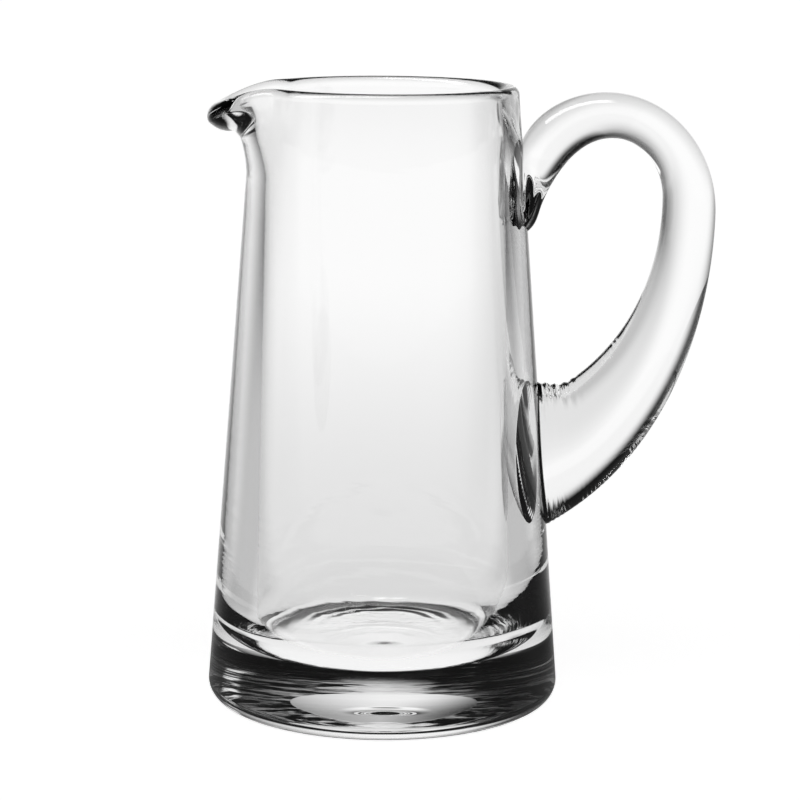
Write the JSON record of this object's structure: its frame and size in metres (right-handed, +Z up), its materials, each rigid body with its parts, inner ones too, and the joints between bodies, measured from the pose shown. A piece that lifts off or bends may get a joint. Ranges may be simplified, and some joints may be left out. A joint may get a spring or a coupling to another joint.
{
  "type": "glass jug",
  "caption": "Tapered clear glass jug with a thick base, a pulled pouring lip and a solid applied loop handle, for serving water, milk or juice.",
  "frame": {"origin": "middle of the flat standing face, on the body's axis", "axes": "+Z up along the body's axis, +X towards the handle, -X towards the pouring lip, Y across the jug"},
  "size_m": [0.1138, 0.08, 0.14],
  "materials": {
    "body_glass": "clear colourless mouth-blown glass, fire-polished, with a ground and polished standing face",
    "handle_glass": "clear colourless solid glass, drawn and fire-polished"
  },
  "bodies": {
    "root": {"body": "body_glass", "handle": "handle_glass"}
  },
  "joints": []
}
